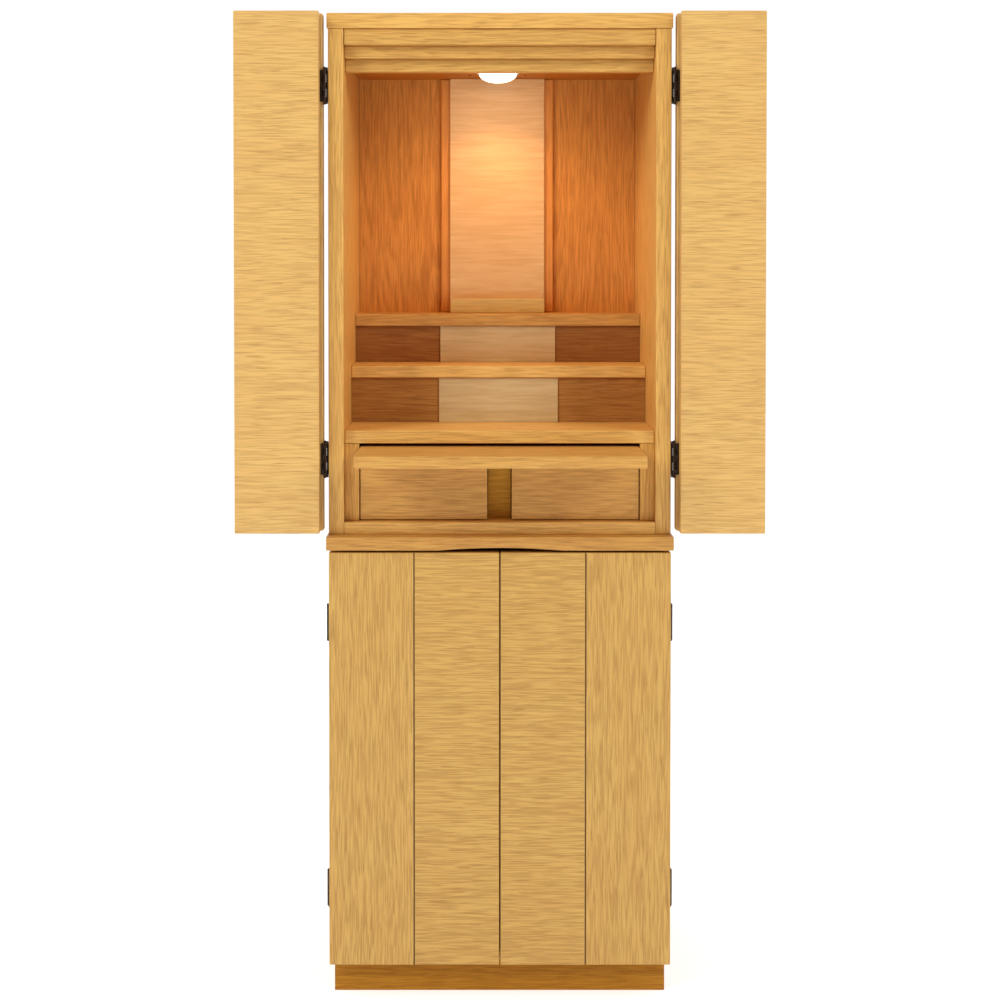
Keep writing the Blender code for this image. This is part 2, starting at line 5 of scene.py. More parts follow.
import bmesh
import bpy
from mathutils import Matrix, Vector


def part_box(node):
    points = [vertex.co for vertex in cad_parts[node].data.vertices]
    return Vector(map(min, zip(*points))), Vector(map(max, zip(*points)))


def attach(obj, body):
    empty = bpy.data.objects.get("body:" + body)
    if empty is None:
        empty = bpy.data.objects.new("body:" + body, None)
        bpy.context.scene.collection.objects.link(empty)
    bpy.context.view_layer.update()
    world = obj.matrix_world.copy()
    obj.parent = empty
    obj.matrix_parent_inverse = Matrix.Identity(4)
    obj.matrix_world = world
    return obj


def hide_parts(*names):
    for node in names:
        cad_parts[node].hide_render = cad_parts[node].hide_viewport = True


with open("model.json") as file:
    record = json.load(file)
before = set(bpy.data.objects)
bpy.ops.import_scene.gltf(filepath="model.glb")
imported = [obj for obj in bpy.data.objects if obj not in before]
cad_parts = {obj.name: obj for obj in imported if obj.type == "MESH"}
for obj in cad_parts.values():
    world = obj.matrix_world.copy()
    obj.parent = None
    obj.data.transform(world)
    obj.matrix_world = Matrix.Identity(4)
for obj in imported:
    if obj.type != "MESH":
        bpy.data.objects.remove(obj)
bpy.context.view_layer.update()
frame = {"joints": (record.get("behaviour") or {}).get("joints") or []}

# Plinth
# A low frame of five oak boards on edge that carries the cupboard, set back under its doors.
# The front and rear boards run past the sides; all are coloured darker than the rest: painted shade
# under the doors.


def add_node(tree, kind, inputs=None, **settings):
    """A node with its settings made and its inputs set, or linked where one is given a socket."""
    made = tree.nodes.new(kind)
    for name, value in settings.items():
        setattr(made, name, value)
    for name, value in (inputs or {}).items():
        if isinstance(value, bpy.types.NodeSocket):
            tree.links.new(value, made.inputs[name])
        else:
            made.inputs[name].default_value = value
    return made


def math_node(tree, operation, first, second=0.0, clamp=False):
    made = add_node(tree, "ShaderNodeMath", {0: first, 1: second}, operation=operation,
                    use_clamp=clamp)
    return made.outputs[0]


def mix_colours(tree, share, first, second):
    """A colour Mix node keeps its colours in its seventh and eighth sockets."""
    made = add_node(tree, "ShaderNodeMix", {0: share, 6: first, 7: second}, data_type="RGBA")
    return made.outputs[2]


def between(tree, value, low, high):
    """0 where the value is at low and 1 where it is at high, smoothly."""
    made = add_node(tree, "ShaderNodeMapRange", {"Value": value, "From Min": low, "From Max": high},
                    interpolation_type="SMOOTHSTEP")
    return made.outputs["Result"]


def drawn_noise(tree, place, per_metre, detail, roughness=0.5):
    """Noise drawn out along the grain: per_metre is along, across and through the board."""
    drawn = add_node(tree, "ShaderNodeVectorMath", {0: place, 1: per_metre}, operation="MULTIPLY")
    noise = add_node(tree, "ShaderNodeTexNoise",
                     {"Vector": drawn.outputs[0], "Scale": 1.0, "Detail": detail,
                      "Roughness": roughness})
    return noise.outputs["Fac"]


RING_SWAY = 0.007
RINGS_IN_FIELD = 20.0
COARSE_SHARE = 0.54
FINE_SHARE = 0.14
STREAK_SHARE = 0.05
EVEN_SHARE = 0.13


def grain_group():
    """Oak veneer: broad tone, growth rings that wander, fibres, and short dark pores.

    Place is a point in metres with its first part along the grain."""
    tree = bpy.data.node_groups.new("oak_veneer", "ShaderNodeTree")
    tree.interface.new_socket("Place", in_out="INPUT", socket_type="NodeSocketVector")
    for name, usual in (("Rings", 0.4), ("Fibre", 0.4), ("Pores", 0.5), ("Blush", 0.5)):
        socket = tree.interface.new_socket(name, in_out="INPUT", socket_type="NodeSocketFloat")
        socket.default_value = usual
    for name in ("Light", "Dark", "Warm"):
        tree.interface.new_socket(name, in_out="INPUT", socket_type="NodeSocketColor")
    tree.interface.new_socket("Colour", in_out="OUTPUT", socket_type="NodeSocketColor")
    tree.interface.new_socket("Roughness", in_out="OUTPUT", socket_type="NodeSocketFloat")
    tree.interface.new_socket("Height", in_out="OUTPUT", socket_type="NodeSocketFloat")
    given = add_node(tree, "NodeGroupInput").outputs

    sway = drawn_noise(tree, given["Place"], (5.0, 12.0, 12.0), 1.0)
    sway = math_node(tree, "MULTIPLY", math_node(tree, "SUBTRACT", sway, 0.5), RING_SWAY)
    shift = add_node(tree, "ShaderNodeCombineXYZ", {"X": 0.0, "Y": sway, "Z": sway}).outputs[0]
    place = add_node(tree, "ShaderNodeVectorMath", {0: given["Place"], 1: shift},
                     operation="ADD").outputs[0]

    field = drawn_noise(tree, place, (1.3, 15.0, 15.0), 0.6, 0.4)
    ring = math_node(tree, "FRACT", math_node(tree, "MULTIPLY", field, RINGS_IN_FIELD))
    early = math_node(tree, "MULTIPLY", between(tree, ring, 0.0, 0.15),
                      math_node(tree, "SUBTRACT", 1.0, between(tree, ring, 0.18, 0.70)))
    streak = between(tree, drawn_noise(tree, place, (7.0, 150.0, 150.0), 1.0), 0.34, 0.68)
    coarse = between(tree, drawn_noise(tree, place, (22.0, 520.0, 520.0), 0.0), 0.38, 0.62)
    fine = between(tree, drawn_noise(tree, place, (70.0, 1000.0, 1000.0), 1.5, 0.6), 0.32, 0.70)
    dash = between(tree, drawn_noise(tree, place, (34.0, 560.0, 560.0), 0.0), 0.61, 0.70)
    pore = math_node(tree, "MULTIPLY", dash,
                     math_node(tree, "ADD", 0.5, math_node(tree, "MULTIPLY", early, 0.5)))
    broad = between(tree, drawn_noise(tree, place, (8.0, 30.0, 30.0), 1.0), 0.36, 0.66)

    fibres = math_node(tree, "ADD", math_node(tree, "MULTIPLY", coarse, COARSE_SHARE),
                       math_node(tree, "MULTIPLY", fine, FINE_SHARE))
    fibres = math_node(tree, "ADD", fibres, math_node(tree, "MULTIPLY", streak, STREAK_SHARE))
    fibres = math_node(tree, "ADD", fibres, EVEN_SHARE)
    dark = math_node(tree, "MULTIPLY", early, given["Rings"])
    dark = math_node(tree, "ADD", dark, math_node(tree, "MULTIPLY", fibres, given["Fibre"]))
    dark = math_node(tree, "ADD", dark, math_node(tree, "MULTIPLY", pore, given["Pores"]),
                     clamp=True)
    tone = mix_colours(tree, math_node(tree, "MULTIPLY", broad, given["Blush"]), given["Light"],
                       given["Warm"])
    wood = mix_colours(tree, dark, tone, given["Dark"])

    result = add_node(tree, "NodeGroupOutput")
    tree.links.new(wood, result.inputs["Colour"])
    tree.links.new(math_node(tree, "ADD", 0.42, math_node(tree, "MULTIPLY", dark, 0.16)),
                   result.inputs["Roughness"])
    tree.links.new(math_node(tree, "SUBTRACT", math_node(tree, "MULTIPLY", fine, 0.3), pore),
                   result.inputs["Height"])
    return tree


OAK_VENEER = grain_group()


BLUSH = 0.38
GRAIN_RELIEF = 0.00012


def veneered(name, light, dark, warm, rings, fibre, pores, coat=0.10, gloss=0.40):
    """Lacquered oak veneer that reads its grain from the piece's own grain attribute."""
    material = bpy.data.materials.new(name)
    material.use_nodes = True
    tree = material.node_tree
    shader = tree.nodes["Principled BSDF"]
    place = add_node(tree, "ShaderNodeAttribute", attribute_name="grain").outputs["Vector"]
    wood = add_node(tree, "ShaderNodeGroup", node_tree=OAK_VENEER)
    tree.links.new(place, wood.inputs["Place"])
    for socket, value in (("Rings", rings), ("Fibre", fibre), ("Pores", pores), ("Blush", BLUSH)):
        wood.inputs[socket].default_value = value
    for socket, value in (("Light", light), ("Dark", dark), ("Warm", warm)):
        wood.inputs[socket].default_value = (*value, 1.0)
    tree.links.new(wood.outputs["Colour"], shader.inputs["Base Color"])
    tree.links.new(wood.outputs["Roughness"], shader.inputs["Roughness"])
    bump = add_node(tree, "ShaderNodeBump", {"Strength": 0.6, "Distance": GRAIN_RELIEF,
                                             "Height": wood.outputs["Height"]})
    tree.links.new(bump.outputs["Normal"], shader.inputs["Normal"])
    shader.inputs["Specular IOR Level"].default_value = gloss
    shader.inputs["Coat Weight"].default_value = coat
    shader.inputs["Coat Roughness"].default_value = 0.35
    return material


GRAIN_ORDER = {"X": (0, 2, 1), "Y": (1, 0, 2), "Z": (2, 0, 1)}


def lay_grain(shape, seed, direction):
    """Gives each face corner its place in the wood; direction names the grain's axis for a face."""
    wood = random.Random(seed)
    start = Vector([wood.uniform(0, 9) for _ in range(3)])
    grain = shape.loops.layers.float_vector.new("grain")
    for face in shape.faces:
        order = GRAIN_ORDER[direction(face)]
        for corner in face.loops:
            corner[grain] = start + Vector([corner.vert.co[axis] for axis in order])


def eased_board(low, high, radius, along, seed):
    """A board with its edges rounded over; along is its grain's axis, or names it for a face."""
    shape = bmesh.new()
    bmesh.ops.create_cube(shape, size=1.0)
    for vertex in shape.verts:
        vertex.co = [low[i] + (vertex.co[i] + 0.5) * (high[i] - low[i]) for i in range(3)]
    bmesh.ops.bevel(shape, geom=shape.edges[:], offset=radius, segments=3, profile=0.5,
                    affect="EDGES", clamp_overlap=True)
    shape.normal_update()
    lay_grain(shape, seed, along if callable(along) else lambda face: along)
    return shape


SHARP_FROM = 32.0  # degrees between two faces


def finished_mesh(name, shapes, material):
    """One mesh out of several closed shapes, smooth over its rounded edges and flat elsewhere."""
    gathered = bmesh.new()
    for shape in shapes:
        part = bpy.data.meshes.new("part")
        shape.to_mesh(part)
        shape.free()
        gathered.from_mesh(part)
        bpy.data.meshes.remove(part)
    mesh = bpy.data.meshes.new(name)
    gathered.to_mesh(mesh)
    gathered.free()
    mesh.materials.append(material)
    mesh.shade_smooth()
    mesh.set_sharp_from_angle(angle=math.radians(SHARP_FROM))
    return mesh


def fitted(name, mesh, body, nodes=()):
    """Settles the piece's normals, puts it in the scene and has it ride on its body."""
    piece = bpy.data.objects.new(name, mesh)
    bpy.context.scene.collection.objects.link(piece)
    weighted = piece.modifiers.new("flat faces", "WEIGHTED_NORMAL")
    weighted.keep_sharp = True
    settled = bpy.data.meshes.new_from_object(
        piece.evaluated_get(bpy.context.evaluated_depsgraph_get()))
    piece.modifiers.clear()
    piece.data = settled
    settled.name = name
    bpy.data.meshes.remove(mesh)
    if nodes:
        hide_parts(*nodes)
    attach(piece, body)
    return piece


def board(node, body, material, along, radius, raised=0.0):
    """A veneered board in the place of the plain one; raised lifts its top to close a joint."""
    low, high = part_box(node)
    high.z += raised
    shape = eased_board(low, high, radius, along, node)
    return fitted(f"{node}_board", finished_mesh(node, [shape], material), body, [node])


PLINTH_BOARD = 0.018
# Dark colour as painted shade for the shadow under the overhanging doors.
PLINTH_OAK_PAINTED_SHADE = veneered("plinth_oak_painted_shade", (0.480, 0.212, 0.017), (0.312, 0.118, 0.009),
                      (0.465, 0.183, 0.014), rings=0.20, fibre=0.80, pores=0.5,
                      coat=0.0, gloss=0.12)
plinth_low, plinth_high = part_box("plinth")
plinth_rows = []
for number, (x0, x1, y0, y1) in enumerate((
        (plinth_low.x, plinth_high.x, plinth_low.y, plinth_low.y + PLINTH_BOARD),
        (plinth_low.x, plinth_high.x, plinth_high.y - PLINTH_BOARD, plinth_high.y),
        (plinth_low.x, plinth_low.x + PLINTH_BOARD, plinth_low.y + PLINTH_BOARD,
         plinth_high.y - PLINTH_BOARD),
        (plinth_high.x - PLINTH_BOARD, plinth_high.x, plinth_low.y + PLINTH_BOARD,
         plinth_high.y - PLINTH_BOARD),
        (-PLINTH_BOARD / 2, PLINTH_BOARD / 2, plinth_low.y + PLINTH_BOARD,
         plinth_high.y - PLINTH_BOARD))):
    along = "X" if number < 2 else "Y"
    plinth_rows.append(eased_board((x0, y0, plinth_low.z), (x1, y1, plinth_high.z), 0.0008, along,
                                   f"plinth {number}"))
fitted("plinth_frame", finished_mesh("plinth_frame", plinth_rows, PLINTH_OAK_PAINTED_SHADE), "cabinet",
       ["plinth"])

# Lower carcass
# Two upright sides, a bottom, a shelf and a back, dowelled and glued, all veneered in light oak.
# The front edges carry an oak lipping with upright grain, and the back is a thin panel let in.

CARCASS_OAK = veneered("carcass_oak", (0.800, 0.466, 0.115), (0.518, 0.257, 0.055),
                       (0.776, 0.400, 0.097), rings=0.16, fibre=0.80, pores=0.50)
for node, slot, along in (("lower_side_left", "oak_upright", "Z"),
                          ("lower_side_right", "oak_upright", "Z"),
                          ("lower_bottom", "oak_crosswise", "X"),
                          ("lower_shelf", "oak_crosswise", "X")):
    board(node, "cabinet", CARCASS_OAK, along, radius=0.0008)
board("lower_back", "cabinet", CARCASS_OAK, "Z", radius=0.0004)

# Counter
# One oak-veneered board over the cupboard that stands proud of its doors like a lip.
# A shallow scoop is cut under its front edge, so that fingertips reach the tops of the doors.

COUNTER_EASING = 0.0012
SCOOP_CHORD = 0.185
SCOOP_RISE = 0.004
SCOOP_DEPTH = 0.030
COUNTER_OAK = veneered("counter_oak", (0.600, 0.308, 0.060), (0.390, 0.170, 0.029),
                       (0.582, 0.265, 0.050), rings=0.16, fibre=0.80, pores=0.50)


def skinned(rings):
    """A closed solid through rings that have equally many points, with flat ends."""
    shape = bmesh.new()
    loops = [[shape.verts.new(point) for point in ring] for ring in rings]
    for near, far in zip(loops, loops[1:]):
        for this in range(len(near)):
            after = (this + 1) % len(near)
            shape.faces.new((near[this], near[after], far[after], far[this]))
    shape.faces.new(list(reversed(loops[0])))
    shape.faces.new(loops[-1])
    bmesh.ops.recalc_face_normals(shape, faces=shape.faces[:])
    return shape


QUARTER_STEPS = 3


def quarter(centre, radius, start):
    """Points round a quarter circle from the start angle, in degrees, anticlockwise."""
    return [(centre[0] + radius * math.cos(math.radians(start + 90 * i / QUARTER_STEPS)),
             centre[1] + radius * math.sin(math.radians(start + 90 * i / QUARTER_STEPS)))
            for i in range(QUARTER_STEPS + 1)]


def counter_ring(x, drop, low, high):
    """The board's outline in depth and height at x; drop pulls it in where its ends round over."""
    swell = 1 - (2 * x / SCOOP_CHORD) ** 2
    under = low.z + SCOOP_RISE * max(0.0, swell) + drop
    r = COUNTER_EASING
    y0, y1, z1 = low.y + drop, high.y - drop, high.z - drop
    wall = low.y + SCOOP_DEPTH
    outline = quarter((y0 + r, under + r), r, 180)
    outline += [(wall - 0.002, under), (wall, low.z + drop)]
    outline += quarter((y1 - r, low.z + drop + r), r, 270)
    outline += quarter((y1 - r, z1 - r), r, 0)
    outline += quarter((y0 + r, z1 - r), r, 90)
    return [(x, y, z) for y, z in outline]


counter_low, counter_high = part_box("counter_top")
end_turns = [math.radians(30 * step) for step in range(4)]
counter_stations = [(counter_low.x + COUNTER_EASING * (1 - math.cos(turn)),
                     COUNTER_EASING * (1 - math.sin(turn))) for turn in end_turns]
counter_stations += [(SCOOP_CHORD * (step / 32 - 0.5), 0.0) for step in range(33)]
counter_stations += [(counter_high.x - COUNTER_EASING * (1 - math.cos(turn)),
                      COUNTER_EASING * (1 - math.sin(turn))) for turn in reversed(end_turns)]
counter_shape = skinned([counter_ring(x, drop, counter_low, counter_high)
                         for x, drop in counter_stations])
lay_grain(counter_shape, "counter", lambda face: "X")
fitted("counter_board", finished_mesh("counter_board", [counter_shape], COUNTER_OAK), "cabinet",
       ["counter_top"])

# Upper carcass
# The tall open box of the niche: two upright sides under a top board that overhangs them a
# little, a bottom board on the counter, and a thin upright-grained back let in behind.

for node in ("upper_side_left", "upper_side_right"):
    board(node, "cabinet", CARCASS_OAK, "Z", radius=0.0012)
board("upper_bottom", "cabinet", CARCASS_OAK, "X", radius=0.0006)
board("top_board", "cabinet", CARCASS_OAK, "X", radius=0.0015)
NICHE_OAK = veneered("niche_oak", (0.780, 0.362, 0.071), (0.507, 0.200, 0.035),
                     (0.760, 0.312, 0.060), rings=0.30, fibre=0.80, pores=0.45, coat=0.05,
                     gloss=0.25)
board("upper_back", "cabinet", NICHE_OAK, "Z", radius=0.0004)

# Drawer case
# Under the altar floor stand two short posts; a board over the drawers carries the pulled-out
# offering board, and a wide upright block between the drawers leaves a recess for the fingers.

POST_OAK = veneered("post_oak", (0.790, 0.430, 0.082), (0.513, 0.237, 0.040),
                    (0.766, 0.370, 0.069), rings=0.16, fibre=0.80, pores=0.50)
for node in ("post_left", "post_right"):
    board(node, "cabinet", POST_OAK, "Z", radius=0.0008)
RECESS_OAK = veneered("recess_oak", (0.690, 0.365, 0.042), (0.450, 0.200, 0.020),
                      (0.670, 0.318, 0.034), rings=0.16, fibre=0.70, pores=0.45, coat=0.0,
                      gloss=0.10)
board("drawer_divider", "cabinet", RECESS_OAK, "X", radius=0.0006)
runner_low, runner_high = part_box("runner_board")
RUNNER_FRONT_WIDTH = 0.4245
RUNNER_FRONT_DEPTH = 0.0215
RUNNER_EASING = 0.0006
runner_parts = [
    eased_board((runner_low.x, runner_low.y + RUNNER_FRONT_DEPTH, runner_low.z), runner_high,
                RUNNER_EASING, "X", "runner"),
    eased_board((-RUNNER_FRONT_WIDTH / 2, runner_low.y, runner_low.z),
                (RUNNER_FRONT_WIDTH / 2, runner_low.y + RUNNER_FRONT_DEPTH, runner_high.z),
                RUNNER_EASING, "X", "runner")]
fitted("runner_board_lipped", finished_mesh("runner_board", runner_parts, COUNTER_OAK), "cabinet",
       ["runner_board"])

# Stepped shelves
# The altar floor, the middle shelf and the top shelf step back up the niche, each a veneered
# board with a rounded front lipping; upright risers close the steps below the two upper ones.

SHELF_OAK = veneered("shelf_oak", (0.690, 0.375, 0.082), (0.447, 0.207, 0.039),
                     (0.669, 0.323, 0.069), rings=0.16, fibre=0.78, pores=0.45)
board("top_shelf", "cabinet", SHELF_OAK, "X", radius=0.0014)
# A lighter copy of the shelf oak: painted light on the lit fronts of the altar floor and middle
# shelf.
FLOOR_OAK_PAINTED_LIGHT = veneered("floor_oak", (0.900, 0.545, 0.140), (0.590, 0.305, 0.068),
                     (0.875, 0.470, 0.118), rings=0.16, fibre=0.78, pores=0.45)
for node in ("altar_floor", "middle_shelf"):
    board(node, "cabinet", FLOOR_OAK_PAINTED_LIGHT, "X", radius=0.0014)
# One oak on both risers: the upper one darker as painted shade under the top shelf, the lower one
# lighter as painted light.
for node, light, dark, warm in (
        ("lower_riser", (0.500, 0.232, 0.054), (0.325, 0.128, 0.026), (0.480, 0.200, 0.045)),
        ("upper_riser", (0.380, 0.160, 0.038), (0.250, 0.090, 0.018), (0.365, 0.138, 0.032))):
    riser_oak_painted_light = veneered(f"{node}_oak", light, dark, warm, rings=0.25, fibre=0.80, pores=0.50,
                         coat=0.0, gloss=0.15)
    board(node, "cabinet", riser_oak_painted_light, "X", radius=0.0005)

# Pale panels
# Close-grained pale veneer on thin panels: one tall panel up the middle of the niche's back and
# one on each riser below it. The figure runs across, and the lacquer is glossier than elsewhere.


def figured_pale_wood(name, light, dark):
    """Pale veneer with a faint ripple across the grain and very fine fibres."""
    material = bpy.data.materials.new(name)
    material.use_nodes = True
    tree = material.node_tree
    shader = tree.nodes["Principled BSDF"]
    place = add_node(tree, "ShaderNodeAttribute", attribute_name="grain").outputs["Vector"]
    ripple = between(tree, drawn_noise(tree, place, (13.0, 170.0, 170.0), 1.5), 0.36, 0.66)
    fibre = between(tree, drawn_noise(tree, place, (30.0, 480.0, 480.0), 1.5, 0.6), 0.34, 0.68)
    shade = math_node(tree, "ADD", math_node(tree, "MULTIPLY", ripple, 0.55),
                      math_node(tree, "MULTIPLY", fibre, 0.30))
    wood = mix_colours(tree, shade, (*light, 1.0), (*dark, 1.0))
    tree.links.new(wood, shader.inputs["Base Color"])
    tree.links.new(math_node(tree, "ADD", 0.30, math_node(tree, "MULTIPLY", shade, 0.12)),
                   shader.inputs["Roughness"])
    shader.inputs["Coat Weight"].default_value = 0.45
    shader.inputs["Coat Roughness"].default_value = 0.16
    return material


PALE_VENEER = figured_pale_wood("pale_veneer", (0.82, 0.57, 0.27), (0.69, 0.43, 0.175))
board("centre_panel", "cabinet", PALE_VENEER, "X", radius=0.0006)
RISER_VENEER = figured_pale_wood("riser_veneer", (0.68, 0.49, 0.225), (0.56, 0.365, 0.145))
for node in ("upper_riser_panel", "lower_riser_panel"):
    board(node, "cabinet", RISER_VENEER, "X", radius=0.0006)

# Niche back
# A flat oak board stands proud of the back and frames the pale panel with a narrow margin; a low
# oak stand in front of it takes the foot of whatever is set up there.

MOUNT_OAK = veneered("mount_oak", (0.760, 0.330, 0.062), (0.492, 0.182, 0.030),
                     (0.737, 0.284, 0.052), rings=0.10, fibre=0.45, pores=0.30)
board("back_mount_board", "cabinet", MOUNT_OAK, "Z", radius=0.0020)
STAND_OAK = veneered("stand_oak", (0.780, 0.600, 0.210), (0.540, 0.360, 0.105),
                     (0.760, 0.520, 0.170), rings=0.10, fibre=0.60, pores=0.35)
board("image_stand", "cabinet", STAND_OAK, "X", radius=0.0010)

# Ceiling and valance
# The niche ceiling is a thin oak board; in front of it three oak slats step down and back, each
# with softly rounded edges, to hide the lamp's glare from a standing eye.

CEILING_OAK = veneered("ceiling_oak", (0.580, 0.225, 0.028), (0.380, 0.126, 0.014),
                       (0.560, 0.195, 0.023), rings=0.16, fibre=0.70, pores=0.45, coat=0.0,
                       gloss=0.08)
board("niche_ceiling", "cabinet", CEILING_OAK, "X", radius=0.0005)
SLAT_JOINT = 0.0003
SLAT_OAK = veneered("slat_oak", (0.690, 0.400, 0.096), (0.450, 0.222, 0.046),
                    (0.670, 0.345, 0.080), rings=0.16, fibre=0.80, pores=0.50)
board("valance_upper", "cabinet", SLAT_OAK, "X", radius=0.0016)
for node in ("valance_middle", "valance_lower"):
    board(node, "cabinet", SLAT_OAK, "X", radius=0.0016, raised=SLAT_JOINT)

# Lamp
# A round white plastic base screwed under the ceiling holds a domed opal lens over warm diodes.
# A small dark screw head shows on the ceiling to either side of it.


def turned(profile, steps=48):
    """A solid of revolution about +Z through (radius, height) points; a radius of 0 is a pole."""
    shape = bmesh.new()
    rings = []
    for radius, height in profile:
        corners = 1 if radius == 0 else steps
        rings.append([shape.verts.new((radius * math.cos(math.tau * i / steps),
                                       radius * math.sin(math.tau * i / steps), height))
                      for i in range(corners)])
    for near, far in zip(rings, rings[1:]):
        for i in range(steps):
            after = (i + 1) % steps
            corners = [near[0]] if len(near) == 1 else [near[i], near[after]]
            corners += [far[0]] if len(far) == 1 else [far[after], far[i]]
            shape.faces.new(corners)
    bmesh.ops.recalc_face_normals(shape, faces=shape.faces[:])
    return shape


def moved(shape, place):
    bmesh.ops.translate(shape, verts=shape.verts[:], vec=place)
    return shape


def plain_finish(name, colour, roughness, metallic=0.0, mottle=0.08, scale=400.0):
    """Moulded plastic or coated metal: a slight mottle in its colour and gloss."""
    material = bpy.data.materials.new(name)
    material.use_nodes = True
    tree = material.node_tree
    shader = tree.nodes["Principled BSDF"]
    place = add_node(tree, "ShaderNodeTexCoord").outputs["Object"]
    noise = add_node(tree, "ShaderNodeTexNoise", {"Vector": place, "Scale": scale, "Detail": 3.0})
    cloud = between(tree, noise.outputs["Fac"], 0.35, 0.65)
    darker = [channel * (1 - mottle) for channel in colour]
    tree.links.new(mix_colours(tree, cloud, (*colour, 1.0), (*darker, 1.0)),
                   shader.inputs["Base Color"])
    tree.links.new(math_node(tree, "ADD", roughness, math_node(tree, "MULTIPLY", cloud, 0.10)),
                   shader.inputs["Roughness"])
    shader.inputs["Metallic"].default_value = metallic
    return material


LAMP_PLASTIC = plain_finish("lamp_plastic", (0.82, 0.79, 0.72), 0.35)
base_low, base_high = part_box("lamp_base")
lamp_centre = (base_low + base_high) / 2
BASE_RADIUS = (base_high.x - base_low.x) / 2
BASE_ROUNDING = 0.0010
base_profile = [(0, base_low.z), (BASE_RADIUS - 0.0012, base_low.z)]
base_profile += quarter((BASE_RADIUS - BASE_ROUNDING, base_low.z + BASE_ROUNDING),
                        BASE_ROUNDING, 270)
base_profile += [(BASE_RADIUS, base_high.z), (0, base_high.z)]
base_shape = moved(turned(base_profile), (lamp_centre.x, lamp_centre.y, 0))
fitted("lamp_base_ring", finished_mesh("lamp_base_ring", [base_shape], LAMP_PLASTIC), "cabinet",
       ["lamp_base"])

LENS_GLOW = bpy.data.materials.new("lens_glow")
LENS_GLOW.use_nodes = True
glow_tree = LENS_GLOW.node_tree
glow = glow_tree.nodes["Principled BSDF"]
glow_place = add_node(glow_tree, "ShaderNodeTexCoord").outputs["Object"]
glow_cloud = add_node(glow_tree, "ShaderNodeTexNoise", {"Vector": glow_place, "Scale": 60.0})
glow_tree.links.new(mix_colours(glow_tree, glow_cloud.outputs["Fac"], (1.0, 0.90, 0.72, 1.0),
                                (1.0, 0.84, 0.60, 1.0)), glow.inputs["Emission Color"])
glow.inputs["Base Color"].default_value = (0.95, 0.92, 0.85, 1.0)
glow.inputs["Roughness"].default_value = 0.3
glow.inputs["Emission Strength"].default_value = 2.0
lens_low, lens_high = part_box("lamp_lens")
LENS_RADIUS = (lens_high.x - lens_low.x) / 2 - 0.0011
LENS_DROP = lens_high.z - lens_low.z - 0.0012
lens_profile = [(0, lens_high.z - LENS_DROP)]
for step in range(1, 17):
    turn = math.radians(90 * step / 16)
    lens_profile.append((LENS_RADIUS * math.sin(turn), lens_high.z - LENS_DROP * math.cos(turn)))
lens_profile.append((0, lens_high.z))
lens_shape = moved(turned(lens_profile), (lamp_centre.x, lamp_centre.y, 0))
fitted("lamp_lens_dome", finished_mesh("lamp_lens_dome", [lens_shape], LENS_GLOW), "cabinet",
       ["lamp_lens"])

# Screws
# Small countersunk steel screws with a cross recess, blackened like the hinges. Two of them hold
# the lamp's base from beside it, and a row of them holds each hinge flap to its board.

BRONZE = plain_finish("hinge_bronze", (0.050, 0.032, 0.021), 0.38, metallic=0.75, mottle=0.35,
                      scale=160.0)


def repeating_tree():
    """Repeats the piece it is put on upwards, Count times at a Pitch, in one finish."""
    tree = bpy.data.node_groups.new("repeated_upwards", "GeometryNodeTree")
    for name, kind in (("Piece", "NodeSocketGeometry"), ("Count", "NodeSocketInt"),
                       ("Pitch", "NodeSocketFloat"), ("Finish", "NodeSocketMaterial")):
        tree.interface.new_socket(name, in_out="INPUT", socket_type=kind)
    tree.interface.new_socket("Row", in_out="OUTPUT", socket_type="NodeSocketGeometry")
    given = add_node(tree, "NodeGroupInput").outputs
    step = add_node(tree, "ShaderNodeCombineXYZ", {"Z": given["Pitch"]}).outputs[0]
    line = add_node(tree, "GeometryNodeMeshLine", {"Count": given["Count"], "Offset": step})
    row = add_node(tree, "GeometryNodeInstanceOnPoints",
                   {"Points": line.outputs["Mesh"], "Instance": given["Piece"]})
    real = add_node(tree, "GeometryNodeRealizeInstances", {"Geometry": row.outputs["Instances"]})
    coated = add_node(tree, "GeometryNodeSetMaterial",
                      {"Geometry": real.outputs["Geometry"], "Material": given["Finish"]})
    add_node(tree, "NodeGroupOutput", {"Row": coated.outputs["Geometry"]})
    return tree


REPEATED = repeating_tree()


def row_of(shape, count, pitch, finish, place):
    """The shape repeated upwards from its place, as one shape again."""
    mesh = bpy.data.meshes.new("one")
    shape.to_mesh(mesh)
    shape.free()
    single = bpy.data.objects.new("one", mesh)
    bpy.context.scene.collection.objects.link(single)
    modifier = single.modifiers.new("row", "NODES")
    modifier.node_group = REPEATED
    values = {"Count": count, "Pitch": pitch, "Finish": finish}
    for socket in REPEATED.interface.items_tree:
        if socket.name in values:
            modifier[socket.identifier] = values[socket.name]
    row = bpy.data.meshes.new_from_object(
        single.evaluated_get(bpy.context.evaluated_depsgraph_get()))
    bpy.data.objects.remove(single)
    bpy.data.meshes.remove(mesh)
    result = bmesh.new()
    result.from_mesh(row)
    bpy.data.meshes.remove(row)
    return moved(result, place)


